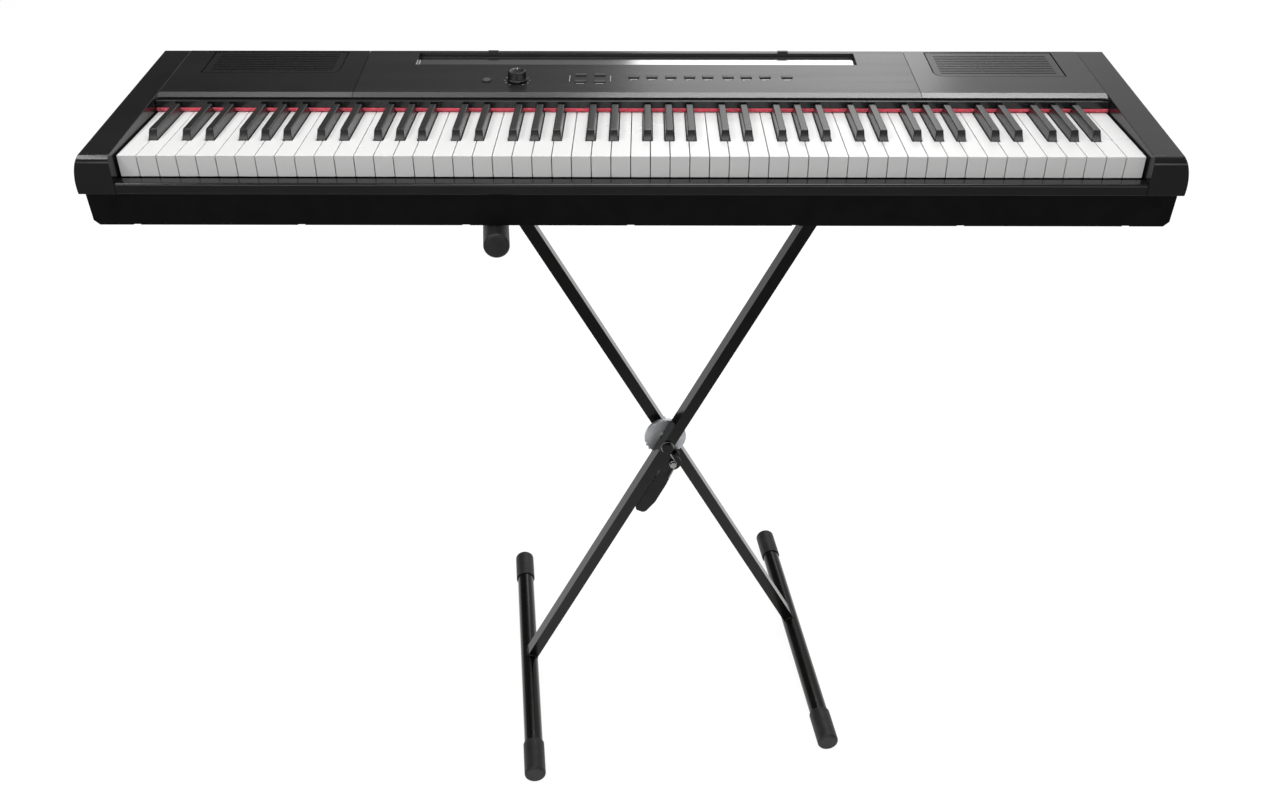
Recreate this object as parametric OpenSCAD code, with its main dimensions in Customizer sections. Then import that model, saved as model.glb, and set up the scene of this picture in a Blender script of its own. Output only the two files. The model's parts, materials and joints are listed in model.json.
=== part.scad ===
// Digital piano on a folding cross-leg stand.
// Row frame: origin on the floor under the middle of the object, +X along the keyboard to the right,
// +Y away from the player, +Z up. Millimetres.

/* [Keys] */
// Height of the white keys' tops above the floor
key_height = 940; // [930:5:960]
// Width taken by one white key
white_pitch = 23.5; // [23.3:0.1:23.6]
// Gap between neighbouring keys
key_gap = 1; // [0.6:0.1:1.4]
// Height of a white key's front face
white_drop = 26.5; // [24:0.5:27]
// Height of a black key above the white keys
black_rise = 12; // [10:0.5:12.5]
// Width of a black key at its foot
black_width = 11; // [10:0.5:11.5]
// Distance from the front of the white keys to the front of the black keys
black_front = 50.5; // [48:0.5:54]

/* [Case] */
// Half length of the keyboard over the end blocks
body_half = 658.5; // [655:0.5:664]
// Inner face of each end block
well_half = 613; // [612.5:0.5:614]
// Rear face of the keyboard, measured from the key fronts
body_rear = 312; // [310:1:316]
// Height of the top plane above the white keys, at the key fronts
top_height = 7.4; // [6.5:0.1:8]
// Rise of the top plane for each millimetre towards the rear
top_slope = 0.072; // [0.068:0.001:0.076]
// Depth of the keyboard's underside below the white keys' tops
case_depth = 81; // [79:0.5:82]
// Wall thickness of the plastic mouldings
wall = 3; // [2.5:0.1:3.2]

/* [Controls] */
// Length of a function button along the keyboard
button_length = 14.5; // [12:0.5:16]
// Depth of a function button
button_depth = 6; // [5:0.5:6.5]
// Travel of a function button
button_travel = 1.2; // [0.8:0.1:1.4]
// Radius of the volume knob
knob_radius = 13.5; // [12:0.5:14.5]

/* [Stand] */
// Yaw of the stand under the keyboard, in degrees
stand_yaw = 6.61; // [6:0.01:7]
// Distance of each foot tube from the middle
foot_spread = 226; // [222:1:230]
// Height of the pivot above the foot tubes' axes
pivot_height = 418; // [412:1:424]
// Radius of the rubber foot caps and of the arm sleeves
rubber_radius = 16; // [15.5:0.5:16]
// Radius of the foot tubes
foot_radius = 14; // [13:0.5:14]
// Radius of the support-arm tubes
arm_radius = 12.7; // [12:0.1:13]
// Width of the leg tube across its slope
leg_width = 17; // [15:0.5:18]
// Depth of the leg tube
leg_depth = 22; // [20:0.5:23]
// Radius of the lock disc
disc_radius = 31.5; // [28:0.5:32]

/* [Hidden] */
$fn = 48;

eps = 0.01;
far = 1400;

// The keyboard is modelled from the key line: the top front edge of the white keys.
key_line_y = -139.3;

// ---- keys ----
white_count = 52;
first_white_x = -white_pitch * white_count / 2;
notch_clear = 0.9;
notch_y = black_front - 1.5;
white_visible = 150;
black_end = 147;
key_rear = 228;
key_under = -22;
rear_top = -1;
pivot_y = 215;
pivot_z = -14;
groove_half = 5.5;
black_taper = 1;
black_slope = 6.5;
pocket_end = 200;

// Cells of the sharps: five equal cells from C to E and seven from F to B.
cell_ce = 3 * white_pitch / 5;
cell_fb = 4 * white_pitch / 7;
sharp_place = [
    1.5 * cell_ce, 3.5 * cell_ce,
    3 * white_pitch + 1.5 * cell_fb, 3 * white_pitch + 3.5 * cell_fb, 3 * white_pitch + 5.5 * cell_fb
];
// The sharp to the left and to the right of each of C D E F G A B, -1 for none.
left_sharp = [-1, 0, 1, -1, 2, 3, 4];
right_sharp = [0, 1, -1, 2, 3, 4, -1];

function white_index(octave, degree) = 7 * octave + degree - 5;
function octave_x(octave) = first_white_x + white_pitch * white_index(octave, 0);
function sharp_exists(octave, sharp) = sharp >= 0 && octave <= 7 && (octave >= 1 || sharp == 4);
function sharp_x(octave, sharp) = octave_x(octave) + sharp_place[sharp];
function top_z(y) = top_height + top_slope * y;

// ---- case ----
slope_angle = atan(top_slope);
block_bottom = -41;
case_front = -18.5;
case_top_half = 650;
case_low_half = 648.5;
case_corner_half = 642;
case_corner_rise = 6;
front_face = -20;
block_round = 10;
side_round = 80;
side_widest = -37;
lip_y = 159;
lip_bottom = 15.2;
lip_rise = 1.4;
bevel_end = 170;
corner_round = 12;
seam = 0.7;
left_seam_front = -360;
left_seam_rear = -364;
right_seam = 373;
notch_count = 7;
notch_first = -597;
notch_pitch = 199;

// Speaker grilles: side, inner edge, outer edge, front edge.
grille_left = [-576, -394, 235];
grille_right = [403, 575, 226];
grille_rear = 306.5;
grille_round = 12;
grille_gap = 1.8;
slot_pitch = 6;
slot_width = 1.8;

// Music-rest recess
rest_left = -294;
rest_right = 304;
rest_front = 263;
rest_rear = 304;
rest_depth = 5;

// Controls on the top plane, [x, y]
power_at = [-192, 209];
led_at = [-184, 217];
knob_at = [-151.5, 209];
mode_at = [[-68.5, 227], [-43, 227], [-68.5, 205], [-43, 205]];
voice_at = [
    [2, 220], [26, 220], [51, 220], [76, 220], [100, 220],
    [127, 220], [151, 220], [176, 220], [205, 220]
];
power_radius = 6.5;
led_radius = 1.5;
shaft_radius = 3;
button_proud = 1.4;
button_clear = 0.3;
flange_under = 0.1;
flange_thick = 1.2;
flange_grow = 1.4;

// Rear sockets, [x, bore radius]
socket_x = [380, 410, 440];
socket_bore = 3.2;
socket_body = 6;
socket_deep = 15;
socket_z = -59;
usb_x = 345;

// Places of the fixing screws and rubber feet
screw_x = [-590, -200, 200, 590];
screw_y = [16, 215];
foot_pad_x = 560;
foot_pad_y = [20, 285];

// ---- stand ----
stand_x = 50.5;
stand_y = -8.9;
half_angle = atan(foot_spread / pivot_height);
arm_height = key_height - case_depth - 0.3 - 2 * rubber_radius;
lower_length = pivot_height / cos(half_angle);
leg_length = arm_height / cos(half_angle);
arm_out = 8.8;
arm_x = (arm_height - pivot_height) * tan(half_angle) + arm_out;
rear_plane = 40;
leg_wall = 2;
left_foot_front = -248.6;
left_foot_rear = 254.7;
right_foot_front = -236.7;
right_foot_rear = 266.6;
cap_length = 60;
cap_end = 4.5;
cap_round = 4;
sleeve_clear = 0.06;
arm_long = 189;
arm_short = 98;
sleeve_stop = 14;
bolt_radius = 5;
run_clear = 0.06;
disc_front = 14;
disc_thick = 6;
hub_radius = 16;
notch_radius = 3;
lever_pin_radius = 3;
lever_half = 8;
lever_x = 22;
lever_z = lower_length - 23;
lock_pin_radius = 3;
lock_gap = 0.6;
lock_reach = disc_radius + lock_gap + lock_pin_radius;
lock_dir = -66;
lock_x = lock_reach * cos(lock_dir);
lock_z = lower_length + lock_reach * sin(lock_dir);

// ======== helpers ========

// Into the keyboard's own frame
module at_keys() {
    translate([0, key_line_y, key_height]) children();
}

// Onto the sloping top plane: z is height above the plane
module on_panel(x, y) {
    translate([x, y, top_z(y)]) rotate([slope_angle, 0, 0]) children();
}

// A profile of [y, z] points drawn out along X
module along_x(x0, x1) {
    translate([x0, 0, 0]) rotate([90, 0, 90]) linear_extrude(x1 - x0) children();
}

// A profile of [x, z] points drawn out along Y
module along_y(y0, y1) {
    translate([0, y1, 0]) rotate([90, 0, 0]) linear_extrude(y1 - y0) children();
}

// A cylinder along +Y
module rod_y(r, y0, y1) {
    translate([0, y0, 0]) rotate([-90, 0, 0]) cylinder(r = r, h = y1 - y0);
}

// Into the stand's frame: z = 0 on the foot tubes' axes, y = 0 in the front leg's plane
module at_stand() {
    translate([stand_x, stand_y, rubber_radius]) rotate([0, 0, stand_yaw]) children();
}

// Along the front leg: z runs up the leg from the foot tube's axis, x points to its lower right side
module along_leg() {
    translate([-foot_spread, 0, 0]) rotate([0, half_angle, 0]) children();
}

// ======== keys ========

module key_groove(x0, x1) {
    along_x(x0, x1) polygon([
        [pivot_y, pivot_z],
        [pivot_y + groove_half, key_under - eps],
        [pivot_y - groove_half, key_under - eps]
    ]);
}

module white_key(octave, degree) {
    x0 = octave_x(octave) + white_pitch * degree + key_gap / 2;
    x1 = x0 + white_pitch - key_gap;
    ls = left_sharp[degree];
    rs = right_sharp[degree];
    reach = black_width / 2 + notch_clear;
    t0 = sharp_exists(octave, ls) ? sharp_x(octave, ls) + reach : x0;
    t1 = sharp_exists(octave, rs) ? sharp_x(octave, rs) - reach : x1;
    skin = 2;
    difference() {
        union() {
            translate([x0, 0, -white_drop]) cube([x1 - x0, notch_y, white_drop]);
            translate([t0, notch_y / 2, -white_drop])
                cube([t1 - t0, white_visible - notch_y / 2, white_drop]);
            translate([t0, white_visible - 10, key_under])
                cube([t1 - t0, key_rear - white_visible + 10, rear_top - key_under]);
        }
        translate([x0 + skin, skin, -white_drop - 1])
            cube([x1 - x0 - 2 * skin, notch_y - 2 * skin, white_drop - skin]);
        translate([t0 + skin, notch_y / 2, -white_drop - 1])
            cube([t1 - t0 - 2 * skin, pocket_end - notch_y / 2, white_drop - skin]);
        key_groove(t0 - 1, t1 + 1);
    }
}

module black_key(octave, sharp) {
    x = sharp_x(octave, sharp);
    half = black_width / 2;
    skin = 2;
    difference() {
        intersection() {
            along_x(x - half, x + half) polygon([
                [black_front, key_under], [black_front, 0], [black_front + black_slope, black_rise],
                [black_end, black_rise], [black_end, rear_top], [key_rear, rear_top],
                [key_rear, key_under]
            ]);
            translate([x, 0, 0]) along_y(black_front - 1, key_rear + 1) polygon([
                [-half, key_under - 1], [half, key_under - 1], [half, 0],
                [half - black_taper, black_rise], [-half + black_taper, black_rise], [-half, 0]
            ]);
        }
        translate([x - half + skin, black_front + 9, key_under - 1])
            cube([black_width - 2 * skin, pocket_end - black_front - 9, rear_top - key_under - 1]);
        key_groove(x - half - 1, x + half + 1);
    }
}

module white_keys(degree) {
    color("ivory") at_keys() {
        for (octave = [0:8]) {
            index = white_index(octave, degree);
            if (index >= 0 && index < white_count) white_key(octave, degree);
        }
    }
}

module black_keys(sharp) {
    color([0.09, 0.09, 0.1]) at_keys() {
        for (octave = [0:7]) {
            if (sharp_exists(octave, sharp)) black_key(octave, sharp);
        }
    }
}

// ======== keyboard case ========

module case_section(inset, floor_z) {
    polygon([
        [-case_top_half + inset, block_bottom + inset / 2],
        [-case_low_half + inset, -case_depth + case_corner_rise + inset / 2],
        [-case_corner_half + inset / 2, floor_z], [case_corner_half - inset / 2, floor_z],
        [case_low_half - inset, -case_depth + case_corner_rise + inset / 2],
        [case_top_half - inset, block_bottom + inset / 2]
    ]);
}

module bottom_case() {
    color([0.04, 0.04, 0.045]) at_keys() difference() {
        along_y(case_front, body_rear) case_section(0, -case_depth);
        along_y(case_front + wall, body_rear - wall) case_section(wall, -case_depth + wall);
        translate([0, 0, block_bottom - wall]) along_y(case_front + wall, body_rear - wall)
            translate([-case_top_half + 2 * wall, 0]) square([2 * (case_top_half - 2 * wall), 2 * wall]);
        for (i = [0:notch_count - 1])
            translate([notch_first + notch_pitch * i - 4.5, case_front - 1, -case_depth - 1])
                cube([9, 3, 3.6]);
        for (x = screw_x, y = screw_y) translate([x, y, -case_depth - 1]) {
            cylinder(r = 1.75, h = 10);
            cylinder(r = 3.6, h = 2.9);
        }
        for (x = socket_x) translate([x, 0, socket_z])
            rod_y(socket_body + 0.05, body_rear - 2 * wall, body_rear + 1);
        translate([usb_x - 6.1, body_rear - 2 * wall, socket_z - 5.6]) cube([12.2, 3 * wall, 11.2]);
    }
}

// Cross section of the right end block, z = 0 on its top plane
module end_section() {
    low = block_bottom - top_z(body_rear) - 5;
    intersection() {
        translate([body_half - side_round, side_widest]) circle(r = side_round, $fn = 192);
        translate([well_half, low]) square([body_half - well_half, -low]);
    }
}

module end_block() {
    corner_y = front_face + block_round;
    corner_z = top_z(corner_y) - block_round;
    cut_z = block_bottom - 1;
    difference() {
        intersection() {
            translate([0, 0, top_height]) rotate([slope_angle, 0, 0])
                along_y(front_face - 10, body_rear + 10) end_section();
            along_x(well_half, body_half + 5) difference() {
                polygon([
                    [front_face, block_bottom], [front_face, top_z(front_face)],
                    [body_rear, top_z(body_rear)], [body_rear, block_bottom]
                ]);
                // the front corner, rounded
                difference() {
                    translate([front_face - 1, corner_z]) square([block_round + 1, 2 * block_round]);
                    translate([corner_y, corner_z]) circle(r = block_round, $fn = 96);
                }
            }
        }
        along_x(well_half + wall, body_half - 12) polygon([
            [front_face + 7, cut_z], [body_rear - wall, cut_z],
            [body_rear - wall, top_z(body_rear) - wall], [front_face + 7, top_z(front_face) - 5]
        ]);
    }
}

module right_end_block() {
    color([0.12, 0.12, 0.13]) at_keys() end_block();
}

module left_end_block() {
    color([0.12, 0.12, 0.13]) at_keys() mirror([1, 0, 0]) end_block();
}

// Section of the top panels: lip, shallow bevel, top plane and rear wall
module panel_section() {
    polygon([
        [lip_y, lip_bottom], [lip_y, lip_bottom + lip_rise], [bevel_end, top_z(bevel_end)],
        [body_rear, top_z(body_rear)], [body_rear, block_bottom], [body_rear - wall, block_bottom],
        [body_rear - wall, top_z(body_rear - wall) - wall], [bevel_end + 2, top_z(bevel_end + 2) - wall],
        [lip_y + 3, lip_bottom]
    ]);
}

// Plan of the middle panel between its two seams, grown by g
module middle_plan(g) {
    y0 = lip_y - 20;
    y1 = body_rear + 20;
    polygon([[left_seam_front - g, y0], [right_seam + g, y0], [right_seam + g, y1],
        [left_seam_rear - g, y1]]);
}

module button_hole(at) {
    l = button_length + 2 * button_clear;
    d = button_depth + 2 * button_clear;
    on_panel(at[0], at[1]) translate([-l / 2, -d / 2, -wall - 2]) cube([l, d, 10]);
}

module control_panel() {
    trough = 2;
    deep = rest_rear - rest_front;
    long = rest_right - rest_left;
    color([0.18, 0.18, 0.19]) at_keys() {
        difference() {
            union() {
                intersection() {
                    along_x(left_seam_rear - 10, right_seam + 10) panel_section();
                    translate([0, 0, -100]) linear_extrude(200) middle_plan(0);
                }
                on_panel(rest_left - trough, rest_front - trough) translate([0, 0, -rest_depth - trough])
                    cube([long + 2 * trough, deep + 2 * trough, rest_depth]);
            }
            on_panel(rest_left, rest_front) translate([0, 0, -rest_depth])
                cube([long, deep, rest_depth + 5]);
            for (at = mode_at) button_hole(at);
            for (at = voice_at) button_hole(at);
            on_panel(power_at[0], power_at[1]) translate([0, 0, -wall - 2])
                cylinder(r = power_radius + button_clear, h = 10);
            on_panel(knob_at[0], knob_at[1]) translate([0, 0, -wall - 2])
                cylinder(r = shaft_radius + 0.3, h = 10);
            on_panel(led_at[0], led_at[1]) translate([0, 0, -wall - 2])
                cylinder(r = led_radius + 0.05, h = 10);
        }
        for (x = [-193, 207]) translate([x - 7, body_rear - 6, top_z(body_rear) - 0.5])
            cube([14, 5, 1.8]);
    }
}

// Plan of a grille with its front inner corner rounded; side is -1 on the left and 1 on the right
module grille_plan(side, edges, g) {
    x0 = edges[0] - g;
    x1 = edges[1] + g;
    y0 = edges[2] - g;
    r = grille_round + g;
    cx = side < 0 ? x1 - r : x0 + r;
    difference() {
        translate([x0, y0]) square([x1 - x0, grille_rear + g - y0]);
        difference() {
            translate([side < 0 ? cx : x0 - 1, y0 - 1]) square([r + 1, r + 1]);
            translate([cx, y0 + r]) circle(r = r);
        }
    }
}

module speaker_panels() {
    color([0.15, 0.15, 0.16]) at_keys() difference() {
        union() {
            for (side = [-1, 1]) {
                far_x = side * (well_half - seam / 2);
                near_x = side < 0 ? -300 : 300;
                along_x(min(far_x, near_x), max(far_x, near_x)) panel_section();
                // rounded corner where the lip meets the end block
                intersection() {
                    along_x(-well_half + seam / 2, well_half - seam / 2) polygon([
                        [lip_y - corner_round, lip_bottom],
                        [lip_y - corner_round, lip_bottom + lip_rise],
                        [lip_y + 1, lip_bottom + lip_rise], [lip_y + 1, lip_bottom]
                    ]);
                    translate([far_x, lip_y, 0]) difference() {
                        translate([-corner_round, -corner_round, -50])
                            cube([2 * corner_round, corner_round + 1, 100]);
                        translate([-side * corner_round, -corner_round, -60])
                            cylinder(r = corner_round, h = 120);
                    }
                }
            }
        }
        translate([0, 0, -100]) linear_extrude(200) middle_plan(seam);
        translate([0, 0, -2 * wall]) linear_extrude(100) grille_plan(-1, grille_left, grille_gap);
        translate([0, 0, -2 * wall]) linear_extrude(100) grille_plan(1, grille_right, grille_gap);
    }
}

// One speaker grille: a slotted plate just below the panel's surface with a flange under the panel
module grille(side, edges) {
    sunk = 0.4;
    plate = 3;
    inner = edges[0] + 9;
    long = edges[1] - edges[0] - 18;
    difference() {
        union() {
            intersection() {
                linear_extrude(100) grille_plan(side, edges, 0);
                along_x(-far, far) polygon([
                    [200, top_z(200) - sunk], [330, top_z(330) - sunk],
                    [330, top_z(330) - sunk - plate], [200, top_z(200) - sunk - plate]
                ]);
            }
            intersection() {
                linear_extrude(100) grille_plan(side, edges, grille_gap + 0.6);
                along_x(-far, far) polygon([
                    [200, top_z(200) - wall - eps], [330, top_z(330) - wall - eps],
                    [330, top_z(330) - wall - 1.6], [200, top_z(200) - wall - 1.6]
                ]);
            }
        }
        for (y = [edges[2] + 9 : slot_pitch : grille_rear - 6])
            translate([inner, y - slot_width / 2, 0]) cube([long, slot_width, 100]);
    }
}

module speaker_grilles() {
    color([0.1, 0.1, 0.1]) at_keys() {
        grille(-1, grille_left);
        grille(1, grille_right);
    }
}

module key_slip() {
    ledge = -27;
    round = 3;
    back = -3;
    end = well_half - 0.3;
    color([0.1, 0.1, 0.11]) at_keys() along_x(-end, end) difference() {
        union() {
            translate([front_face + round, ledge - round]) circle(r = round);
            translate([front_face + round, ledge - wall]) square([back - front_face - round, wall]);
            translate([front_face, block_bottom]) square([wall, ledge - round - block_bottom]);
        }
        translate([front_face + wall, block_bottom - 1])
            square([20, ledge - wall - block_bottom + 1]);
    }
}

module fallboard() {
    end = well_half - 0.3;
    color([0.08, 0.08, 0.09]) at_keys() along_x(-end, end) polygon([
        [151, 5], [151, 14.5], [165, 14.5], [165, 12.5], [153.5, 12.5], [153.5, 5]
    ]);
}

module felt_strip() {
    end = well_half - 0.6;
    color([0.75, 0.2, 0.27]) at_keys() translate([-end, 149.8, 0.6]) cube([2 * end, 3, 4.4]);
}

// Base with the front stop rail, two ribs for the contact board and the knife-edge rail
module key_frame() {
    base = -case_depth + wall;
    plate = base + 3;
    rib = -37;
    end = well_half - 2;
    color([0.35, 0.36, 0.38]) at_keys() difference() {
        along_x(-end, end) polygon([
            [0, base], [240, base], [240, plate],
            [pivot_y + 8, plate], [pivot_y + 8, -26], [pivot_y + 3, -23.5],
            [pivot_y, pivot_z - 0.3],
            [pivot_y - 3, -23.5], [pivot_y - 8, -26], [pivot_y - 8, plate],
            [130, plate], [130, rib], [127, rib], [127, plate],
            [93, plate], [93, rib], [90, rib], [90, plate],
            [26, plate], [26, -38], [6, -38], [6, plate], [0, plate]
        ]);
        for (x = screw_x, y = screw_y) translate([x, y, base - 1]) cylinder(r = 1.75, h = 12);
    }
}

module speakers() {
    color([0.06, 0.06, 0.06]) at_keys() for (x = [-485, 489]) on_panel(x, 268)
        rotate_extrude() polygon([
            [0, -38], [20, -38], [20, -26], [25, -24], [34, -8], [35, -8], [35, -5.6],
            [30, -5.6], [29, -9], [12, -19], [0, -17]
        ]);
}

module circuit_boards() {
    board = 1.6;
    color([0.05, 0.3, 0.12]) at_keys() {
        // key contact board on the frame's ribs
        translate([-600, 90, -37]) cube([1200, 40, board]);
        // main board on four posts, with its larger components
        translate([-250, 246, -68]) cube([230, 54, board]);
        for (x = [-245, -25], y = [251, 295]) translate([x, y, -case_depth + wall])
            cylinder(r = 3, h = case_depth - wall - 68 + eps);
        for (x = [-220, -170, -110, -60]) translate([x, 262, -68 + board - eps]) cube([26, 22, 5]);
        // panel board with one switch under each button
        on_panel(-208, 195) translate([0, 0, -10]) cube([428, 40, board]);
        for (x = [-205, 217], y = [199, 231]) on_panel(x, y) translate([0, 0, -10 + board - eps])
            cylinder(r = 2, h = 10 - board - wall - eps);
        for (at = concat(mode_at, voice_at, [power_at])) on_panel(at[0], at[1])
            translate([-3, -3, -10 + board - eps]) cube([6, 6, 2]);
    }
}

module jack_sockets() {
    color([0.2, 0.2, 0.21]) at_keys() {
        for (x = socket_x) translate([x, 0, socket_z]) difference() {
            rod_y(socket_body, body_rear - socket_deep, body_rear + 0.6);
            rod_y(socket_bore, body_rear - socket_deep + 1, body_rear + 2);
        }
        translate([usb_x, body_rear, socket_z]) difference() {
            translate([-6, -socket_deep, -5.5]) cube([12, socket_deep + 0.6, 11]);
            translate([-4.3, -socket_deep + 3, -4]) cube([8.6, socket_deep, 8]);
        }
    }
}

module rubber_feet() {
    color([0.1, 0.1, 0.1]) at_keys() for (x = [-foot_pad_x, foot_pad_x], y = foot_pad_y)
        translate([x, y, -case_depth - 4]) cylinder(r = 9, h = 4);
}

module case_screws() {
    color("silver") at_keys() for (x = screw_x, y = screw_y) translate([x, y, -case_depth]) {
        cylinder(r = 3.5, h = 1.8);
        cylinder(r = 1.7, h = 13);
    }
}

module power_led() {
    color([0.8, 0.1, 0.08]) at_keys() on_panel(led_at[0], led_at[1]) translate([0, 0, -wall])
        cylinder(r = led_radius, h = wall + 0.3);
}

// ======== controls ========

module volume_knob() {
    skirt = 2.5;
    tall = 13;
    color([0.05, 0.05, 0.055]) at_keys() on_panel(knob_at[0], knob_at[1]) difference() {
        union() {
            translate([0, 0, 0.5]) cylinder(r = knob_radius, h = skirt);
            translate([0, 0, 0.5]) cylinder(r = knob_radius - 1.2, h = tall);
            translate([0, 0, -7.9]) cylinder(r = shaft_radius, h = 9);
        }
        translate([-0.5, 4, tall - 0.1]) cube([1, 10, 2]);
    }
}

module power_button() {
    color([0.3, 0.3, 0.32]) at_keys() on_panel(power_at[0], power_at[1]) {
        translate([0, 0, -wall - flange_under - flange_thick])
            cylinder(r = power_radius, h = wall + flange_under + flange_thick + button_proud);
        translate([0, 0, -wall - flange_under - flange_thick])
            cylinder(r = power_radius + flange_grow, h = flange_thick);
        translate([-1.5, -1.5, -5]) cube([3, 3, 2]);
    }
}

module function_button(at) {
    l = button_length;
    d = button_depth;
    low = -wall - flange_under - flange_thick;
    color([0.55, 0.55, 0.57]) at_keys() on_panel(at[0], at[1]) {
        translate([-l / 2, -d / 2, low]) cube([l, d, button_proud - low]);
        translate([-l / 2 - flange_grow, -d / 2 - flange_grow, low])
            cube([l + 2 * flange_grow, d + 2 * flange_grow, flange_thick]);
        translate([-1.5, -1.5, -5]) cube([3, 3, 2]);
    }
}

// ======== stand ========

// A rubber cap along +Y from its closed end at y = 0, with a rounded end edge
module rubber_cap(length, bore) {
    rotate([-90, 0, 0]) rotate_extrude($fn = 96) difference() {
        union() {
            translate([0, 0]) square([rubber_radius - cap_round, length]);
            translate([0, cap_round]) square([rubber_radius, length - cap_round]);
            translate([rubber_radius - cap_round, cap_round]) circle(r = cap_round);
        }
        translate([-50, -1]) square([50, length + 2]);
        translate([-eps, cap_end]) square([bore + eps, length]);
    }
}

module cap_pair(x, y0, y1) {
    translate([x, y0, 0]) rubber_cap(cap_length, foot_radius + sleeve_clear);
    translate([x, y1, 0]) mirror([0, 1, 0]) rubber_cap(cap_length, foot_radius + sleeve_clear);
}

module tube_y(r, y0, y1) {
    difference() {
        rod_y(r, y0, y1);
        rod_y(r - 1.6, y0 - 1, y1 + 1);
    }
}

module left_foot_caps() {
    color([0.16, 0.16, 0.16]) at_stand() cap_pair(-foot_spread, left_foot_front, left_foot_rear);
}

module right_foot_caps() {
    color([0.16, 0.16, 0.16]) at_stand() cap_pair(foot_spread, right_foot_front, right_foot_rear);
}

module left_foot_tube() {
    color([0.05, 0.05, 0.05]) at_stand() translate([-foot_spread, 0, 0])
        tube_y(foot_radius, left_foot_front + cap_end + 0.2, left_foot_rear - cap_end - 0.2);
}

module right_foot_tube() {
    color([0.05, 0.05, 0.05]) at_stand() translate([foot_spread, 0, 0])
        tube_y(foot_radius, right_foot_front + cap_end + 0.2, right_foot_rear - cap_end - 0.2);
}

// The leg from its foot tube to its arm tube, in the leg's own frame
module leg(bolt_bore) {
    low = 8;
    high = leg_length + arm_out * sin(half_angle);
    difference() {
        translate([-leg_width / 2, -leg_depth / 2, low]) cube([leg_width, leg_depth, high - low]);
        translate([-leg_width / 2 + leg_wall, -leg_depth / 2 + leg_wall, low - 1])
            cube([leg_width - 2 * leg_wall, leg_depth - 2 * leg_wall, high - low + 2]);
        rod_y(foot_radius, -leg_depth, leg_depth);
        translate([arm_out * cos(half_angle), 0, high]) rod_y(arm_radius, -leg_depth, leg_depth);
        translate([0, 0, lower_length]) rod_y(bolt_bore, -leg_depth, leg_depth);
    }
}

module front_leg() {
    color([0.06, 0.06, 0.06]) at_stand() along_leg() leg(bolt_radius + 0.02);
}

module rear_leg() {
    color([0.06, 0.06, 0.06]) at_stand() translate([0, rear_plane, 0]) mirror([1, 0, 0])
        along_leg() leg(bolt_radius + run_clear);
}

module right_arm_tube() {
    color([0.05, 0.05, 0.05]) at_stand() translate([arm_x, 0, arm_height])
        tube_y(arm_radius, -arm_short + cap_end + 0.2, arm_long - cap_end - 0.2);
}

module left_arm_tube() {
    color([0.05, 0.05, 0.05]) at_stand() translate([-arm_x, rear_plane, arm_height])
        tube_y(arm_radius, -arm_long + cap_end + 0.2, arm_short - cap_end - 0.2);
}

// Two sleeves that leave the leg's joint free
module sleeve_pair(front, rear) {
    bore = arm_radius + sleeve_clear;
    translate([0, -front, 0]) rubber_cap(front - sleeve_stop, bore);
    translate([0, rear, 0]) mirror([0, 1, 0]) rubber_cap(rear - sleeve_stop, bore);
}

module right_arm_sleeves() {
    color([0.13, 0.13, 0.13]) at_stand() translate([arm_x, 0, arm_height])
        sleeve_pair(arm_short, arm_long);
}

module left_arm_sleeves() {
    color([0.13, 0.13, 0.13]) at_stand() translate([-arm_x, rear_plane, arm_height])
        sleeve_pair(arm_long, arm_short);
}

// Notched lock disc with its hub, welded to the rear leg
module lock_plate() {
    hub_end = rear_plane - leg_depth / 2;
    color([0.7, 0.71, 0.73]) at_stand() translate([0, 0, pivot_height]) difference() {
        union() {
            rod_y(disc_radius, disc_front, disc_front + disc_thick);
            rod_y(hub_radius, disc_front + disc_thick - eps, hub_end);
        }
        rod_y(bolt_radius + run_clear, 0, rear_plane);
        for (i = [-3:5]) rotate([0, half_angle - lock_dir + 14 * i, 0])
            translate([disc_radius + 0.4, 0, 0])
            rod_y(notch_radius, disc_front - 1, disc_front + disc_thick + 1);
    }
}

module pivot_bolt() {
    head = -leg_depth / 2 - 1.2;
    color("silver") at_stand() translate([0, 0, pivot_height]) {
        rod_y(bolt_radius, head - 1, rear_plane + leg_depth / 2 + 12);
        translate([0, head - 5, 0]) rotate([-90, 0, 0]) cylinder(r = 9.2, h = 5, $fn = 6);
    }
}

module washer(r, y0, y1) {
    difference() {
        rod_y(r, y0, y1);
        rod_y(bolt_radius + 0.05, y0 - 1, y1 + 1);
    }
}

module stand_fasteners() {
    back = rear_plane + leg_depth / 2;
    color([0.6, 0.6, 0.62]) at_stand() {
        translate([0, 0, pivot_height]) {
            washer(10, -leg_depth / 2 - 1.2, -leg_depth / 2);
            washer(10, leg_depth / 2 + 0.2, disc_front - 0.2);
            washer(10, back + 0.2, back + 1.6);
            difference() {
                translate([0, back + 1.6, 0]) rotate([-90, 0, 0]) cylinder(r = 9.2, h = 8, $fn = 6);
                rod_y(bolt_radius + 0.05, back, back + 20);
            }
        }
        along_leg() translate([lever_x, 0, lever_z]) {
            rod_y(lever_pin_radius, -15, 12.2);
            rod_y(lever_pin_radius + 2, -17, -15);
        }
    }
}

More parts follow.
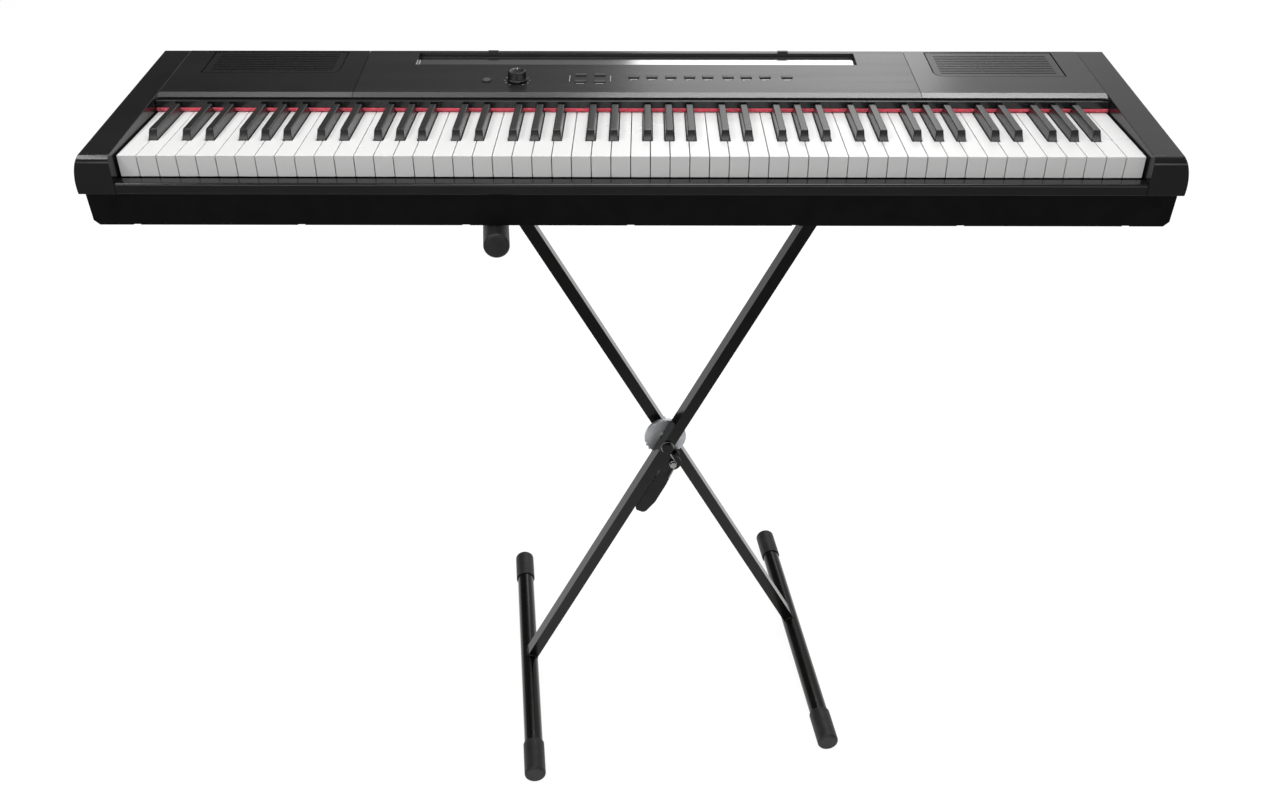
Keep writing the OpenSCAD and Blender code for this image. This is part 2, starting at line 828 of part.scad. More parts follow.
// Bent sheet bracket on the front leg that carries the lever's pin, open where the lock pin moves
module lever_bracket() {
    sheet = 2;
    inner = lever_half + 0.35;
    face = leg_width / 2;
    low = lock_z - 10;
    high = lever_z + 13;
    window = 7.5;
    color([0.1, 0.1, 0.1]) at_stand() along_leg() difference() {
        union() {
            translate([face, -inner - sheet, low]) cube([sheet, 2 * (inner + sheet), high - low]);
            for (y = [-inner - sheet, inner]) {
                translate([face, y, low]) cube([lever_x - face, sheet, high - low]);
                translate([lever_x, 0, lever_z]) rod_y(high - lever_z, y, y + sheet);
            }
        }
        translate([lever_x, 0, lever_z]) rod_y(lever_pin_radius + 0.03, -20, 20);
        translate([face - 1, -inner, lock_z - window]) cube([sheet + 2, 2 * inner, 2 * window]);
        for (t = [0:6:18]) translate([lever_x, 0, lever_z]) rotate([0, -t, 0])
            translate([lock_x - lever_x, 0, lock_z - lever_z]) rod_y(lock_pin_radius + 0.8, -4, 20);
    }
}

// Squeeze lever: head on its pin with an arm for the lock pin, a straight grip and a blunt end
module lever_handle() {
    grip_x = 23;
    grip_top = lever_z - 26;
    grip_low = lever_z - 76;
    end_low = lever_z - 94;
    fine = 32;
    color([0.07, 0.07, 0.07]) at_stand() along_leg() difference() {
        translate([0, lever_half, 0]) rotate([90, 0, 0]) linear_extrude(2 * lever_half) union() {
            hull() {
                translate([lever_x, lever_z]) circle(r = 8, $fn = fine);
                translate([lock_x, lock_z]) circle(r = 4.6, $fn = fine);
                translate([grip_x, grip_top]) circle(r = 9, $fn = fine);
            }
            hull() {
                translate([grip_x, grip_top]) circle(r = 9, $fn = fine);
                translate([grip_x, grip_top - 14]) circle(r = 10.5, $fn = fine);
            }
            hull() {
                translate([grip_x, grip_top - 14]) circle(r = 10.5, $fn = fine);
                translate([grip_x, grip_low]) circle(r = 11, $fn = fine);
            }
            hull() {
                translate([grip_x, grip_low]) circle(r = 11, $fn = fine);
                translate([grip_x - 7, end_low - 4]) circle(r = 4, $fn = fine);
                translate([grip_x, end_low - 1]) circle(r = 7, $fn = fine);
            }
        }
        translate([lever_x, 0, lever_z]) rod_y(lever_pin_radius + 0.06, -20, 20);
        translate([lock_x, 0, lock_z]) rod_y(lock_pin_radius + 0.03, -3, 20);
    }
}

// Pin that the lever draws out of the disc's notches
module lock_pin() {
    color("silver") at_stand() along_leg() translate([lock_x, 0, lock_z])
        rod_y(lock_pin_radius, -3, disc_front + disc_thick + 1);
}

// Return spring: a coil on the lever's pin, one arm up to the pivot and one down to the grip
module lever_spring() {
    wire = 1;
    coil = lever_pin_radius + 1.8;
    color("silver") at_stand() along_leg() translate([lever_x, -12, lever_z]) {
        rotate([90, 0, 0]) rotate_extrude() translate([coil, 0.2]) circle(r = wire);
        rotate([0, -56, 0]) translate([coil, 0, 0]) cylinder(r = wire, h = 18);
        rotate([0, 176, 0]) translate([-coil, 0, 0]) cylinder(r = wire, h = 26);
    }
}

left_foot_caps();
left_foot_tube();
front_leg();
right_arm_tube();
right_arm_sleeves();
right_foot_caps();
right_foot_tube();
rear_leg();
left_arm_tube();
left_arm_sleeves();
lock_plate();
pivot_bolt();
stand_fasteners();
lever_bracket();
lever_handle();
lever_spring();
lock_pin();
bottom_case();
left_end_block();
right_end_block();
control_panel();
speaker_panels();
speaker_grilles();
key_slip();
fallboard();
felt_strip();
key_frame();
speakers();
circuit_boards();
jack_sockets();
rubber_feet();
case_screws();
power_led();
white_keys(0);  // c_keys
black_keys(0);  // c_sharp_keys
white_keys(1);  // d_keys
black_keys(1);  // d_sharp_keys
white_keys(2);  // e_keys
white_keys(3);  // f_keys
black_keys(2);  // f_sharp_keys
white_keys(4);  // g_keys
black_keys(3);  // g_sharp_keys
white_keys(5);  // a_keys
black_keys(4);  // a_sharp_keys
white_keys(6);  // b_keys
volume_knob();
power_button();
function_button(mode_at[0]);  // mode_button_1
function_button(mode_at[1]);  // mode_button_2
function_button(mode_at[2]);  // mode_button_3
function_button(mode_at[3]);  // mode_button_4
function_button(voice_at[0]);  // voice_button_1
function_button(voice_at[1]);  // voice_button_2
function_button(voice_at[2]);  // voice_button_3
function_button(voice_at[3]);  // voice_button_4
function_button(voice_at[4]);  // voice_button_5
function_button(voice_at[5]);  // voice_button_6
function_button(voice_at[6]);  // voice_button_7
function_button(voice_at[7]);  // voice_button_8
function_button(voice_at[8]);  // voice_button_9
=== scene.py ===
"""Digital piano on a folding cross-leg stand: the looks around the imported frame. Metres, +Z up."""

import json
import math
import random

import bmesh
import bpy
from mathutils import Matrix, Vector


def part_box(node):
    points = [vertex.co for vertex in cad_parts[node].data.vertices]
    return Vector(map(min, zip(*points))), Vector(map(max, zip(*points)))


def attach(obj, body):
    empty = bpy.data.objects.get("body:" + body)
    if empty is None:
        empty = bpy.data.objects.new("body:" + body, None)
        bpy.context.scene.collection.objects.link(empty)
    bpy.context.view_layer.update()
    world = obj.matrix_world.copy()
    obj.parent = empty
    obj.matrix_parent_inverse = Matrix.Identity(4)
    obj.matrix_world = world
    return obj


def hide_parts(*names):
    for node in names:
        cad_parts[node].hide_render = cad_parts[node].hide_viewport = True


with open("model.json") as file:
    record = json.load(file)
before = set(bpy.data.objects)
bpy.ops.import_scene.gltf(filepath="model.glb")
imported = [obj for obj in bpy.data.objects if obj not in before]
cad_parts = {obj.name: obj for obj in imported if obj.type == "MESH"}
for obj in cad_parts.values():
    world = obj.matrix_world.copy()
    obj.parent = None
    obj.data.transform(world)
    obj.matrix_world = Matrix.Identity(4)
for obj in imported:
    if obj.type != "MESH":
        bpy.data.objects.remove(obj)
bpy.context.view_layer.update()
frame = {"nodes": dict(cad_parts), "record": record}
NODES = frame["nodes"]
RECORD = frame["record"]
JOINTS = {j["name"]: j for j in RECORD["behaviour"]["joints"]}
SLOT_OF = {s["node"]: s["material_slot"] for s in RECORD["subparts"]}
MM = 0.001


# ---------------------------------------------------------------- places taken from the frame
WHITE_LOW, WHITE_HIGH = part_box("c_keys")
KEY_TOP = WHITE_HIGH[2]
KEY_LINE = WHITE_LOW[1]
SLOPE = math.atan2(-JOINTS["volume_turn"]["axis"][1], JOINTS["volume_turn"]["axis"][2])
TOP_RISE = 7.4 * MM


def panel_matrix(x, y):
    """A place on the sloping top plane: x and y in metres from the middle of the key line."""
    z = KEY_TOP + TOP_RISE + math.tan(SLOPE) * y
    return (
        Matrix.Translation((x, KEY_LINE + y, z))
        @ Matrix.Rotation(SLOPE, 4, "X")
    )


# ---------------------------------------------------------------- camera, floor and lights
CAMERA_PLACE = (0.0171, -1.5041, 1.4830)
CAMERA_DOWN = 33.03
CAMERA_TURN = 0.25
LENS = 34.19
SENSOR = 36.0


def make_camera():
    """The camera of the main view."""
    data = bpy.data.cameras.new("camera")
    data.lens = LENS
    data.sensor_width = SENSOR
    data.clip_start = 0.02
    data.clip_end = 60.0
    camera = bpy.data.objects.new("camera", data)
    bpy.context.scene.collection.objects.link(camera)
    camera.location = CAMERA_PLACE
    camera.rotation_euler = (math.radians(90 - CAMERA_DOWN), 0, math.radians(CAMERA_TURN))
    bpy.context.scene.camera = camera


def aim(obj, target):
    """Turns a lamp to face a point."""
    direction = Vector(target) - obj.location
    obj.rotation_euler = direction.to_track_quat("-Z", "Y").to_euler()


def area_light(name, place, target, size, power):
    """A soft rectangular lamp of the given size in metres and power in watts."""
    data = bpy.data.lights.new(name, "AREA")
    data.shape = "RECTANGLE"
    data.size, data.size_y = size
    data.energy = power
    light = bpy.data.objects.new(name, data)
    bpy.context.scene.collection.objects.link(light)
    light.location = place
    aim(light, target)


# The studio's grey levels: across its rear half, from front to rear, and in its front half
REAR_LEVELS = [(0.0, 0.1), (0.33, 0.03), (0.48, 0.12), (0.59, 0.5), (0.68, 0.3), (1.0, 0.3)]
DEPTH_LEVELS = [(0.5, 0.0), (0.62, 1.0)]
FILL = 0.1
WORLD_STRENGTH = 2.0


def make_world():
    """A studio whose rear half runs from dark on the left to bright on the right."""
    world = bpy.data.worlds.new("studio")
    bpy.context.scene.world = world
    world.use_nodes = True
    nodes, links = world.node_tree.nodes, world.node_tree.links
    coords = nodes.new("ShaderNodeTexCoord")
    split = nodes.new("ShaderNodeSeparateXYZ")
    links.new(coords.outputs["Generated"], split.inputs[0])

    def along(axis, stops):
        half = nodes.new("ShaderNodeMath")
        half.operation = "MULTIPLY_ADD"
        half.inputs[1].default_value = 0.5
        half.inputs[2].default_value = 0.5
        ramp = nodes.new("ShaderNodeValToRGB")
        elements = ramp.color_ramp.elements
        while len(elements) < len(stops):
            elements.new(0.5)
        for element, (position, level) in zip(elements, stops):
            element.position = position
            element.color = (level, level, level, 1)
        links.new(split.outputs[axis], half.inputs[0])
        links.new(half.outputs[0], ramp.inputs[0])
        return ramp.outputs[0]

    rear = along("X", REAR_LEVELS)
    behind = along("Y", DEPTH_LEVELS)
    mix = nodes.new("ShaderNodeMix")
    mix.data_type = "RGBA"
    mix.inputs["A"].default_value = (FILL, FILL, FILL, 1)
    links.new(behind, mix.inputs["Factor"])
    links.new(rear, mix.inputs["B"])
    background = nodes["Background"]
    links.new(mix.outputs["Result"], background.inputs[0])
    background.inputs[1].default_value = WORLD_STRENGTH


# name, place, target, size and power of each lamp
LAMPS = (
    ("overhead", (0.2, -0.1, 3.6), (0, 0, 0), (3.4, 1.1), 61),
    ("rear_top", (1.0, 2.7, 4.14), (0.3, 0.1, 0.95), (2.6, 0.35), 38),
    ("rear_top_left", (-1.4, 2.7, 4.14), (-0.3, 0.1, 0.95), (2.2, 0.35), 9),
    ("left_top", (-2.0, -0.75, 3.5), (-2.0, -0.65, 0), (0.42, 3.0), 48),
    ("rear_low", (0.7, 4.1, 2.9), (0.3, 0.1, 0.95), (1.5, 0.7), 6.5),
    ("front", (0, -4.2, 1.3), (0, 0, 0.9), (5.0, 1.4), 60),
)
FLOOR_SIZE = 40
FLOOR_GREY = 0.15
GLOW_FROM, GLOW_TO = -1.0, -0.36
GLOW_LOW, GLOW_HIGH = 0.1, 0.92


def make_stage():
    """The studio, its lamps and the floor."""
    bpy.context.scene.view_settings.view_transform = "Standard"
    make_world()
    for lamp in LAMPS:
        area_light(*lamp)

    bpy.ops.mesh.primitive_plane_add(size=FLOOR_SIZE, location=(0, 8, 0))
    floor = bpy.context.active_object
    floor.name = "floor"
    paint = bpy.data.materials.new("floor_paint")
    paint.use_nodes = True
    shader = paint.node_tree.nodes["Principled BSDF"]
    shader.inputs["Base Color"].default_value = (FLOOR_GREY, FLOOR_GREY, FLOOR_GREY, 1)
    shader.inputs["Roughness"].default_value = 0.9
    shader.inputs["Specular IOR Level"].default_value = 0.1
    shader.inputs["Emission Color"].default_value = (1, 1, 1, 1)
    # the floor glows white under and behind the object and fades towards the player
    nodes, links = paint.node_tree.nodes, paint.node_tree.links
    place = nodes.new("ShaderNodeNewGeometry")
    split = nodes.new("ShaderNodeSeparateXYZ")
    fade = nodes.new("ShaderNodeMapRange")
    fade.inputs["From Min"].default_value = GLOW_FROM
    fade.inputs["From Max"].default_value = GLOW_TO
    fade.inputs["To Min"].default_value = GLOW_LOW
    fade.inputs["To Max"].default_value = GLOW_HIGH
    links.new(place.outputs["Position"], split.inputs[0])
    links.new(split.outputs["Y"], fade.inputs["Value"])
    links.new(fade.outputs["Result"], shader.inputs["Emission Strength"])
    floor.data.materials.append(paint)


# ---------------------------------------------------------------- materials
class Shader:
    """A Principled material with object-space noise for its colour, gloss and grain."""

    def __init__(self, name):
        self.material = bpy.data.materials.new(name)
        self.material.use_nodes = True
        self.nodes = self.material.node_tree.nodes
        self.links = self.material.node_tree.links
        self.bsdf = self.nodes["Principled BSDF"]
        self.coords = self.nodes.new("ShaderNodeTexCoord")

    def stretched(self, scale):
        """Object coordinates scaled along each axis."""
        mapping = self.nodes.new("ShaderNodeMapping")
        mapping.inputs["Scale"].default_value = scale
        self.links.new(self.coords.outputs["Object"], mapping.inputs["Vector"])
        return mapping.outputs["Vector"]

    def noise(self, scale, detail, stretch=None):
        """Noise from 0 to 1, finer with a larger scale."""
        texture = self.nodes.new("ShaderNodeTexNoise")
        texture.inputs["Scale"].default_value = scale
        texture.inputs["Detail"].default_value = detail
        source = self.stretched(stretch) if stretch else self.coords.outputs["Object"]
        self.links.new(source, texture.inputs["Vector"])
        return texture.outputs["Fac"]

    def ramp(self, value, stops):
        """Colours at the given stops along a value."""
        node = self.nodes.new("ShaderNodeValToRGB")
        elements = node.color_ramp.elements
        while len(elements) < len(stops):
            elements.new(0.5)
        for element, (position, colour) in zip(elements, stops):
            element.position = position
            element.color = (*colour, 1)
        self.links.new(value, node.inputs["Fac"])
        return node.outputs["Color"]

    def span(self, value, low, high):
        """A value from 0 to 1 mapped to low to high."""
        node = self.nodes.new("ShaderNodeMapRange")
        node.inputs["To Min"].default_value = low
        node.inputs["To Max"].default_value = high
        self.links.new(value, node.inputs["Value"])
        return node.outputs["Result"]

    def mottle(self, base, amount, scale, stretch=None):
        """A base colour that wanders a little lighter and darker."""
        low = tuple(c * (1 - amount) for c in base)
        high = tuple(min(1, c * (1 + amount)) for c in base)
        source = self.ramp(self.noise(scale, 4, stretch), [(0.3, low), (0.7, high)])
        self.links.new(source, self.bsdf.inputs["Base Color"])

    def gloss(self, low, high, scale, stretch=None):
        """Roughness that wanders between two values."""
        value = self.span(self.noise(scale, 4, stretch), low, high)
        self.links.new(value, self.bsdf.inputs["Roughness"])

    def grain(self, scale, height, detail, stretch=None):
        """Fine surface relief, height in metres."""
        bump = self.nodes.new("ShaderNodeBump")
        bump.inputs["Strength"].default_value = 1.0
        bump.inputs["Distance"].default_value = height
        self.links.new(self.noise(scale, detail, stretch), bump.inputs["Height"])
        self.links.new(bump.outputs["Normal"], self.bsdf.inputs["Normal"])

    def set(self, **values):
        """Plain values on the shader's own sockets."""
        for name, value in values.items():
            self.bsdf.inputs[name.replace("_", " ")].default_value = value
        return self


def stand_paint():
    s = Shader("stand_paint")
    s.mottle((0.004, 0.0037, 0.0034), 0.35, 60)
    s.gloss(0.13, 0.2, 220)
    s.grain(900, 0.000006, 3)
    return s.set(Specular_IOR_Level=0.28).material


def stand_rubber():
    s = Shader("stand_rubber")
    s.mottle((0.016, 0.016, 0.016), 0.3, 90)
    s.gloss(0.42, 0.6, 160)
    s.grain(1400, 0.00008, 4)
    return s.set(Specular_IOR_Level=0.3).material


def lock_metal():
    s = Shader("lock_metal")
    s.mottle((0.55, 0.56, 0.58), 0.12, 70)
    s.gloss(0.28, 0.5, 130)
    s.grain(700, 0.00005, 4)
    return s.set(Metallic=0.85).material


def bright_steel():
    s = Shader("bright_steel")
    s.mottle((0.34, 0.34, 0.335), 0.1, 120)
    s.gloss(0.2, 0.38, 300)
    s.grain(1500, 0.00002, 3)
    return s.set(Metallic=1.0).material


def lever_plastic():
    s = Shader("lever_plastic")
    s.mottle((0.009, 0.0085, 0.0085), 0.3, 80)
    s.gloss(0.34, 0.48, 200)
    s.grain(1100, 0.00005, 3)
    return s.set(Specular_IOR_Level=0.22).material


def case_plastic():
    s = Shader("case_plastic")
    s.mottle((0.0035, 0.0033, 0.0033), 0.3, 40)
    s.gloss(0.42, 0.55, 90)
    s.grain(1700, 0.00004, 3)
    return s.set(Specular_IOR_Level=0.08).material


def end_plastic():
    s = Shader("end_plastic")
    s.mottle((0.008, 0.008, 0.0085), 0.2, 14)
    s.gloss(0.16, 0.22, 10)
    s.grain(1300, 0.000006, 2)
    return s.set(Specular_IOR_Level=0.42).material


def gloss_plastic():
    s = Shader("gloss_plastic")
    s.mottle((0.009, 0.009, 0.0095), 0.2, 12)
    s.gloss(0.17, 0.23, 8)
    s.grain(1300, 0.000006, 2)
    return s.set(Specular_IOR_Level=0.5).material


def panel_plastic():
    s = Shader("panel_plastic")
    s.mottle((0.011, 0.011, 0.0115), 0.2, 30, (0.05, 1, 1))
    s.gloss(0.19, 0.27, 60, (0.05, 1, 1))
    s.grain(900, 0.000006, 2, (0.03, 1, 1))
    return s.set(Specular_IOR_Level=0.5).material


def grille_plastic():
    s = Shader("grille_plastic")
    s.mottle((0.006, 0.006, 0.0065), 0.25, 60)
    s.gloss(0.24, 0.32, 80)
    s.grain(1500, 0.000008, 3)
    return s.material


def felt():
    s = Shader("felt")
    s.mottle((0.85, 0.085, 0.13), 0.3, 420)
    s.gloss(0.85, 1.0, 300)
    s.grain(2600, 0.0003, 4)
    return s.set(Sheen_Weight=0.6, Sheen_Roughness=0.5).material


def frame_plastic():
    s = Shader("frame_plastic")
    s.mottle((0.08, 0.08, 0.085), 0.2, 40)
    s.gloss(0.5, 0.7, 90)
    s.grain(900, 0.00005, 3)
    return s.material


def speaker_cone():
    s = Shader("speaker_cone")
    s.mottle((0.02, 0.02, 0.02), 0.4, 150)
    s.gloss(0.6, 0.85, 200)
    s.grain(1200, 0.0001, 4)
    return s.material


def circuit_board():
    s = Shader("circuit_board")
    s.mottle((0.012, 0.11, 0.04), 0.4, 260)
    s.gloss(0.25, 0.45, 300)
    s.grain(500, 0.00005, 3)
    return s.material


def socket_plastic():
    s = Shader("socket_plastic")
    s.mottle((0.03, 0.03, 0.032), 0.2, 80)
    s.gloss(0.35, 0.5, 150)
    s.grain(1400, 0.00003, 3)
    return s.material


def led_lens():
    s = Shader("led_lens")
    s.mottle((0.1, 0.008, 0.007), 0.15, 900)
    s.gloss(0.08, 0.16, 500)
    s.grain(900, 0.00001, 2)
    return s.material


def white_key():
    s = Shader("white_key")
    s.mottle((0.72, 0.72, 0.715), 0.012, 9)
    s.gloss(0.26, 0.3, 14)
    s.grain(1100, 0.000005, 2)
    return s.set(Specular_IOR_Level=0.45).material


def black_key():
    s = Shader("black_key")
    s.mottle((0.013, 0.0135, 0.0135), 0.3, 60, (1, 0.08, 1))
    s.gloss(0.22, 0.32, 90, (1, 0.08, 1))
    s.grain(1600, 0.00001, 3, (1, 0.1, 1))
    return s.set(Specular_IOR_Level=0.6).material


def knob_plastic():
    s = Shader("knob_plastic")
    s.mottle((0.005, 0.005, 0.0055), 0.3, 120)
    s.gloss(0.2, 0.3, 200)
    s.grain(1500, 0.00001, 3)
    return s.set(Specular_IOR_Level=0.35).material


def button_plastic():
    s = Shader("button_plastic")
    s.mottle((0.02, 0.02, 0.021), 0.2, 150)
    s.gloss(0.26, 0.4, 200)
    s.grain(1500, 0.00003, 3)
    return s.material


def mark_paint():
    s = Shader("mark_paint")
    s.mottle((0.42, 0.42, 0.43), 0.12, 300)
    s.gloss(0.4, 0.55, 200)
    s.grain(1800, 0.00001, 2)
    return s.material


def polished_strip():
    s = Shader("polished_strip")
    s.mottle((0.5, 0.5, 0.51), 0.06, 20, (0.05, 1, 1))
    s.gloss(0.09, 0.15, 40, (0.03, 1, 1))
    s.grain(700, 0.000004, 2, (0.02, 1, 1))
    return s.set(Metallic=1.0).material


MATERIALS = {
    make.__name__: make()
    for make in (
        stand_paint, stand_rubber, lock_metal, bright_steel, lever_plastic, case_plastic,
        end_plastic, gloss_plastic, panel_plastic, grille_plastic, felt, frame_plastic,
        speaker_cone, circuit_board, socket_plastic, led_lens, white_key, black_key, knob_plastic,
        button_plastic, mark_paint, polished_strip,
    )
}

# Radius of the softened edges on the CAD pieces of each finish
EDGE = {
    "stand_paint": 0.0012, "stand_rubber": 0.0008, "lock_metal": 0.0008,
    "bright_steel": 0.0005, "lever_plastic": 0.002, "case_plastic": 0.0012,
    "end_plastic": 0.0012, "gloss_plastic": 0.0009, "panel_plastic": 0.0006,
    "grille_plastic": 0.0002,
    "felt": 0.0008, "frame_plastic": 0.0005, "speaker_cone": 0.0004, "circuit_board": 0.0002,
    "socket_plastic": 0.0004, "led_lens": 0.0003, "white_key": 0.0007, "black_key": 0.0011,
    "knob_plastic": 0.0008, "button_plastic": 0.0005,
}

# Finishes whose shallow folds are also softened, so that they catch the light
LOW_EDGES = ("panel_plastic", "gloss_plastic")
LOW_FOLD, FOLD = 9, 35
FLAT_WITHIN = 0.4


def dress(node):
    """Gives a CAD node its material and softened edges."""
    obj = NODES[node]
    slot = SLOT_OF[node]
    obj.data.materials.clear()
    obj.data.materials.append(MATERIALS[slot])
    for polygon in obj.data.polygons:
        polygon.material_index = 0
        polygon.use_smooth = True
    weld = obj.modifiers.new("weld", "WELD")
    weld.merge_threshold = 0.00001
    flat = obj.modifiers.new("flat", "DECIMATE")
    flat.decimate_type = "DISSOLVE"
    flat.angle_limit = math.radians(FLAT_WITHIN)
    bevel = obj.modifiers.new("bevel", "BEVEL")
    bevel.width = EDGE[slot]
    bevel.segments = 3
    bevel.limit_method = "ANGLE"
    bevel.angle_limit = math.radians(LOW_FOLD if slot in LOW_EDGES else FOLD)
    bevel.harden_normals = False
    normals = obj.modifiers.new("normals", "WEIGHTED_NORMAL")
    normals.keep_sharp = False


# ---------------------------------------------------------------- pieces made here
def add_piece(obj, material, body, matrix):
    """Places a new object, paints it and makes it ride on its body."""
    bpy.context.scene.collection.objects.link(obj)
    obj.matrix_world = matrix
    obj.data.materials.append(MATERIALS[material])
    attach(obj, body)
    return obj


def mesh_piece(name, build, slot, body, matrix, material=None, smooth=True):
    """A mesh made in its own frame, in millimetres, by build(bm)."""
    mesh = bpy.data.meshes.new(name)
    bm = bmesh.new()
    build(bm)
    bmesh.ops.recalc_face_normals(bm, faces=bm.faces)
    bmesh.ops.scale(bm, vec=(MM, MM, MM), verts=bm.verts)
    bm.to_mesh(mesh)
    bm.free()
    for polygon in mesh.polygons:
        polygon.use_smooth = smooth
    obj = bpy.data.objects.new(name, mesh)
    return add_piece(obj, material or slot, body, matrix)


def turned(bm, rings, count, flutes=0):
    """A turned solid from rings of (radius, height, flute depth), closed at both ends."""
    loops = []
    for radius, height, depth in rings:
        loop = []
        for i in range(count):
            angle = math.tau * i / count
            r = radius - depth * (0.5 + 0.5 * math.cos(flutes * angle))
            loop.append(bm.verts.new((r * math.cos(angle), r * math.sin(angle), height)))
        loops.append(loop)
    for lower, upper in zip(loops, loops[1:]):
        for i in range(count):
            j = (i + 1) % count
            bm.faces.new((lower[i], lower[j], upper[j], upper[i]))
    bm.faces.new(loops[0][::-1])
    bm.faces.new(loops[-1])


def bar(bm, low, high, matrix=None):
    """A box between two corners with slightly drawn-in top edges."""
    (x0, y0, z0), (x1, y1, z1) = low, high
    draw = min(x1 - x0, y1 - y0) * 0.12
    corners = [(x0, y0, z0), (x1, y0, z0), (x1, y1, z0), (x0, y1, z0)]
    corners += [
        (x0 + draw, y0 + draw, z1), (x1 - draw, y0 + draw, z1),
        (x1 - draw, y1 - draw, z1), (x0 + draw, y1 - draw, z1),
    ]
    verts = [bm.verts.new(c) for c in corners]
    bm.faces.new(verts[3::-1])
    bm.faces.new(verts[4:])
    for i in range(4):
        j = (i + 1) % 4
        bm.faces.new((verts[i], verts[j], verts[j + 4], verts[i + 4]))
    if matrix:
        bmesh.ops.transform(bm, matrix=matrix, verts=verts)


# Places on the top plane in millimetres, and how far the marks stand proud
KNOB_AT = (-151.5, 209.0)
POWER_AT = (-192.0, 209.0)
MODE_AT = ((-68.5, 227.0), (-43.0, 227.0), (-68.5, 205.0), (-43.0, 205.0))
VOICE_X = (2.0, 26.0, 51.0, 76.0, 100.0, 127.0, 151.0, 176.0, 205.0)
VOICE_Y = 220.0
MODE_MIDDLE = (-55.75, 216.0)
MODE_REACH = (27.0, 10.0)
MARK_HIGH = 0.12
KNOB_STEPS = 11
KNOB_SWEEP = 150
POWER_RING = (1.39, 1.5)


def on_panel(at):
    """The same place frame for a point given in millimetres."""
    return panel_matrix(at[0] * MM, at[1] * MM)


def make_knob():
    """A fluted knob with a pointer, in place of the plain one."""
    def body(bm):
        turned(bm, [
            (2.9, -7.8, 0), (2.9, 0.4, 0), (12.9, 0.5, 0), (13.4, 0.9, 0), (13.4, 2.3, 0),
            (12.9, 2.9, 0), (12.3, 3.1, 0.1), (12.1, 4.0, 0.55), (11.8, 12.0, 0.55),
            (11.3, 12.9, 0.3), (10.6, 13.4, 0), (9.6, 13.4, 0), (8.9, 13.1, 0), (2.0, 12.9, 0),
        ], 240, 40)

    def pointer(bm):
        bar(bm, (-0.55, 4.0, 12.8), (0.55, 10.6, 13.45))

    knob = mesh_piece("knob_body", body, "knob_plastic", "knob", on_panel(KNOB_AT))
    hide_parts("volume_knob")
    mesh_piece("knob_pointer", pointer, "white_key", "knob", on_panel(KNOB_AT), "mark_paint")


def make_marks():
    """Printed marks without lettering: a scale round the knob and dashes by the buttons."""
    def scale(bm):
        step = 2 * KNOB_SWEEP / (KNOB_STEPS - 1)
        for i in range(KNOB_STEPS):
            turn = Matrix.Rotation(math.radians(step * i - KNOB_SWEEP), 4, "Z")
            bar(bm, (-0.3, 15.6, 0.0), (0.3, 17.6 if i % 5 else 18.6, MARK_HIGH), turn)

    def mode(bm):
        middle_x, middle_y = MODE_MIDDLE
        reach_x, reach_y = MODE_REACH
        for x, y in MODE_AT:
            side = 1 if y > middle_y else -1
            front, rear = sorted((y + side * 5.2, y + side * 6.2))
            bar(bm, (x - 5.5, front, 0), (x + 5.5, rear, MARK_HIGH))
        for x in (middle_x - reach_x, middle_x + reach_x):
            bar(bm, (x - 0.4, middle_y - reach_y, 0), (x + 0.4, middle_y + reach_y, MARK_HIGH))

    def voice(bm):
        for i, x in enumerate(VOICE_X):
            bar(bm, (x - 4.6, VOICE_Y - 7.4, 0), (x + 4.6, VOICE_Y - 6.4, MARK_HIGH))
            for k in range(1 + i % 3):
                left = x - 4.4 + 2.6 * k
                bar(bm, (left, VOICE_Y - 9.8, 0), (left + 1.5, VOICE_Y - 8.4, MARK_HIGH))

    def power(bm):
        low, high = POWER_RING
        for i in range(12):
            turn = Matrix.Rotation(math.radians(30 * i - 90), 4, "Z")
            if i != 3:
                bar(bm, (-0.3, 2.6, low), (0.3, 3.3, high), turn)
        bar(bm, (-0.25, 1.4, low), (0.25, 4.0, high))

    for name, build, body, at in (
        ("knob_scale", scale, "keyboard", KNOB_AT), ("mode_marks", mode, "keyboard", (0, 0)),
        ("voice_marks", voice, "keyboard", (0, 0)), ("power_mark", power, "power_key", POWER_AT),
    ):
        mesh_piece(name, build, "white_key", body, on_panel(at), "mark_paint", False)


# Opposite corners in millimetres of the recess's floor, and of the cloths seen from above
REST_STRIP = (-293.0, 264.2, -5.0), (303.0, 303.2, -4.8)
LEFT_CLOTH = (-573, 239), (-397, 302)
RIGHT_CLOTH = (406, 230), (572, 302)
CLOTH_Z = (-4.1, -3.75)


def make_panel_trim():
    """The polished floor of the music-rest recess and the cloth under the speaker grilles."""
    def strip(bm):
        bar(bm, *REST_STRIP)

    def cloth(low, high):
        def build(bm):
            bar(bm, (*low, CLOTH_Z[0]), (*high, CLOTH_Z[1]))
        return build

    origin = panel_matrix(0, 0)
    mesh_piece("rest_strip", strip, "bright_steel", "keyboard", origin, "polished_strip", False)
    mesh_piece("left_cloth", cloth(*LEFT_CLOTH), "speaker_cone", "keyboard", origin)
    mesh_piece("right_cloth", cloth(*RIGHT_CLOTH), "speaker_cone", "keyboard", origin)


# Tube sizes and the distance from the front leg's plane to the rear leg's
REAR_PLANE = 40 * MM
LEG_HALF = (8.5 * MM, 11.0 * MM)
FOOT_RADIUS = 14.0 * MM
ARM_RADIUS = 12.7 * MM
BEAD = 1.5 * MM
BEAD_POINTS = 72


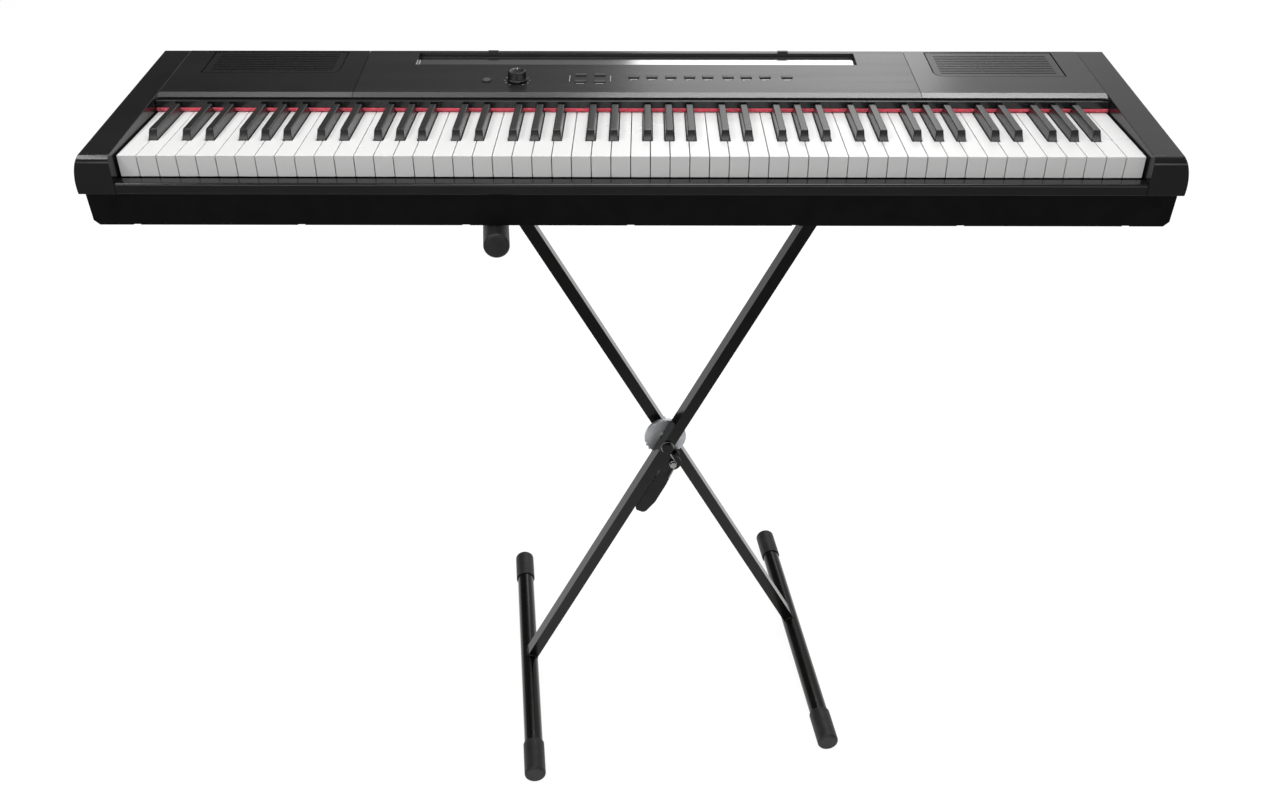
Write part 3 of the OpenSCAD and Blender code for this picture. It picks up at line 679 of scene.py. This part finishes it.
def stand_matrices():
    """The front and the rear leg's own frames: z up the leg, x across it, y to the rear."""
    foot = Vector(JOINTS["stand_height"]["pos_m"])
    pivot = Vector(JOINTS["leg_pivot"]["pos_m"])
    axis = Vector(JOINTS["leg_pivot"]["axis"])
    yaw = math.atan2(axis.x, -axis.y)
    spread = math.hypot(pivot.x - foot.x, pivot.y - foot.y)
    lean = math.atan2(spread, pivot.z - foot.z)
    middle = Matrix.Translation((pivot.x, pivot.y, foot.z)) @ Matrix.Rotation(yaw, 4, "Z")
    leg = Matrix.Translation((-spread, 0, 0)) @ Matrix.Rotation(lean, 4, "Y")
    behind = Matrix.Translation((0, REAR_PLANE, 0)) @ Matrix.Scale(-1, 4, (1, 0, 0))
    return middle @ leg, middle @ behind @ leg


def weld_bead(name, body, matrix, tube_x, tube_z, radius, up):
    """A weld bead where a leg meets a tube that lies along its y axis."""
    rng = random.Random(name)
    half_x, half_y = LEG_HALF
    points = []
    for i in range(BEAD_POINTS):
        angle = math.tau * i / BEAD_POINTS
        c, s = math.cos(angle), math.sin(angle)
        reach = 1 / max(abs(c) / half_x, abs(s) / half_y)
        x, y = c * reach, s * reach
        rise = math.sqrt(max(radius**2 - (x - tube_x) ** 2, (0.35 * radius) ** 2))
        points.append((x, y, tube_z + up * rise))
    curve = bpy.data.curves.new(name, "CURVE")
    curve.dimensions = "3D"
    curve.bevel_depth = BEAD
    curve.bevel_resolution = 3
    spline = curve.splines.new("POLY")
    spline.points.add(BEAD_POINTS - 1)
    for point, place in zip(spline.points, points):
        point.co = (*(matrix @ Vector(place)), 1)
        point.radius = rng.uniform(0.75, 1.15)
    spline.use_cyclic_u = True
    add_piece(bpy.data.objects.new(name, curve), "stand_paint", body, Matrix())


def make_beads():
    """The weld beads of the feet and of the support arms."""
    front, rear = stand_matrices()
    arm = front.inverted() @ Vector(JOINTS["arm_sleeve_turn"]["pos_m"])
    weld_bead("left_foot_bead", "front_frame", front, 0, 0, FOOT_RADIUS, 1)
    weld_bead("right_foot_bead", "rear_frame", rear, 0, 0, FOOT_RADIUS, 1)
    weld_bead("right_arm_bead", "front_frame", front, arm.x, arm.z, ARM_RADIUS, -1)
    weld_bead("left_arm_bead", "rear_frame", rear, arm.x, arm.z, ARM_RADIUS, -1)


# ---------------------------------------------------------------- build
make_camera()
make_stage()
for name in NODES:
    dress(name)
make_knob()
make_marks()
make_panel_trim()
make_beads()
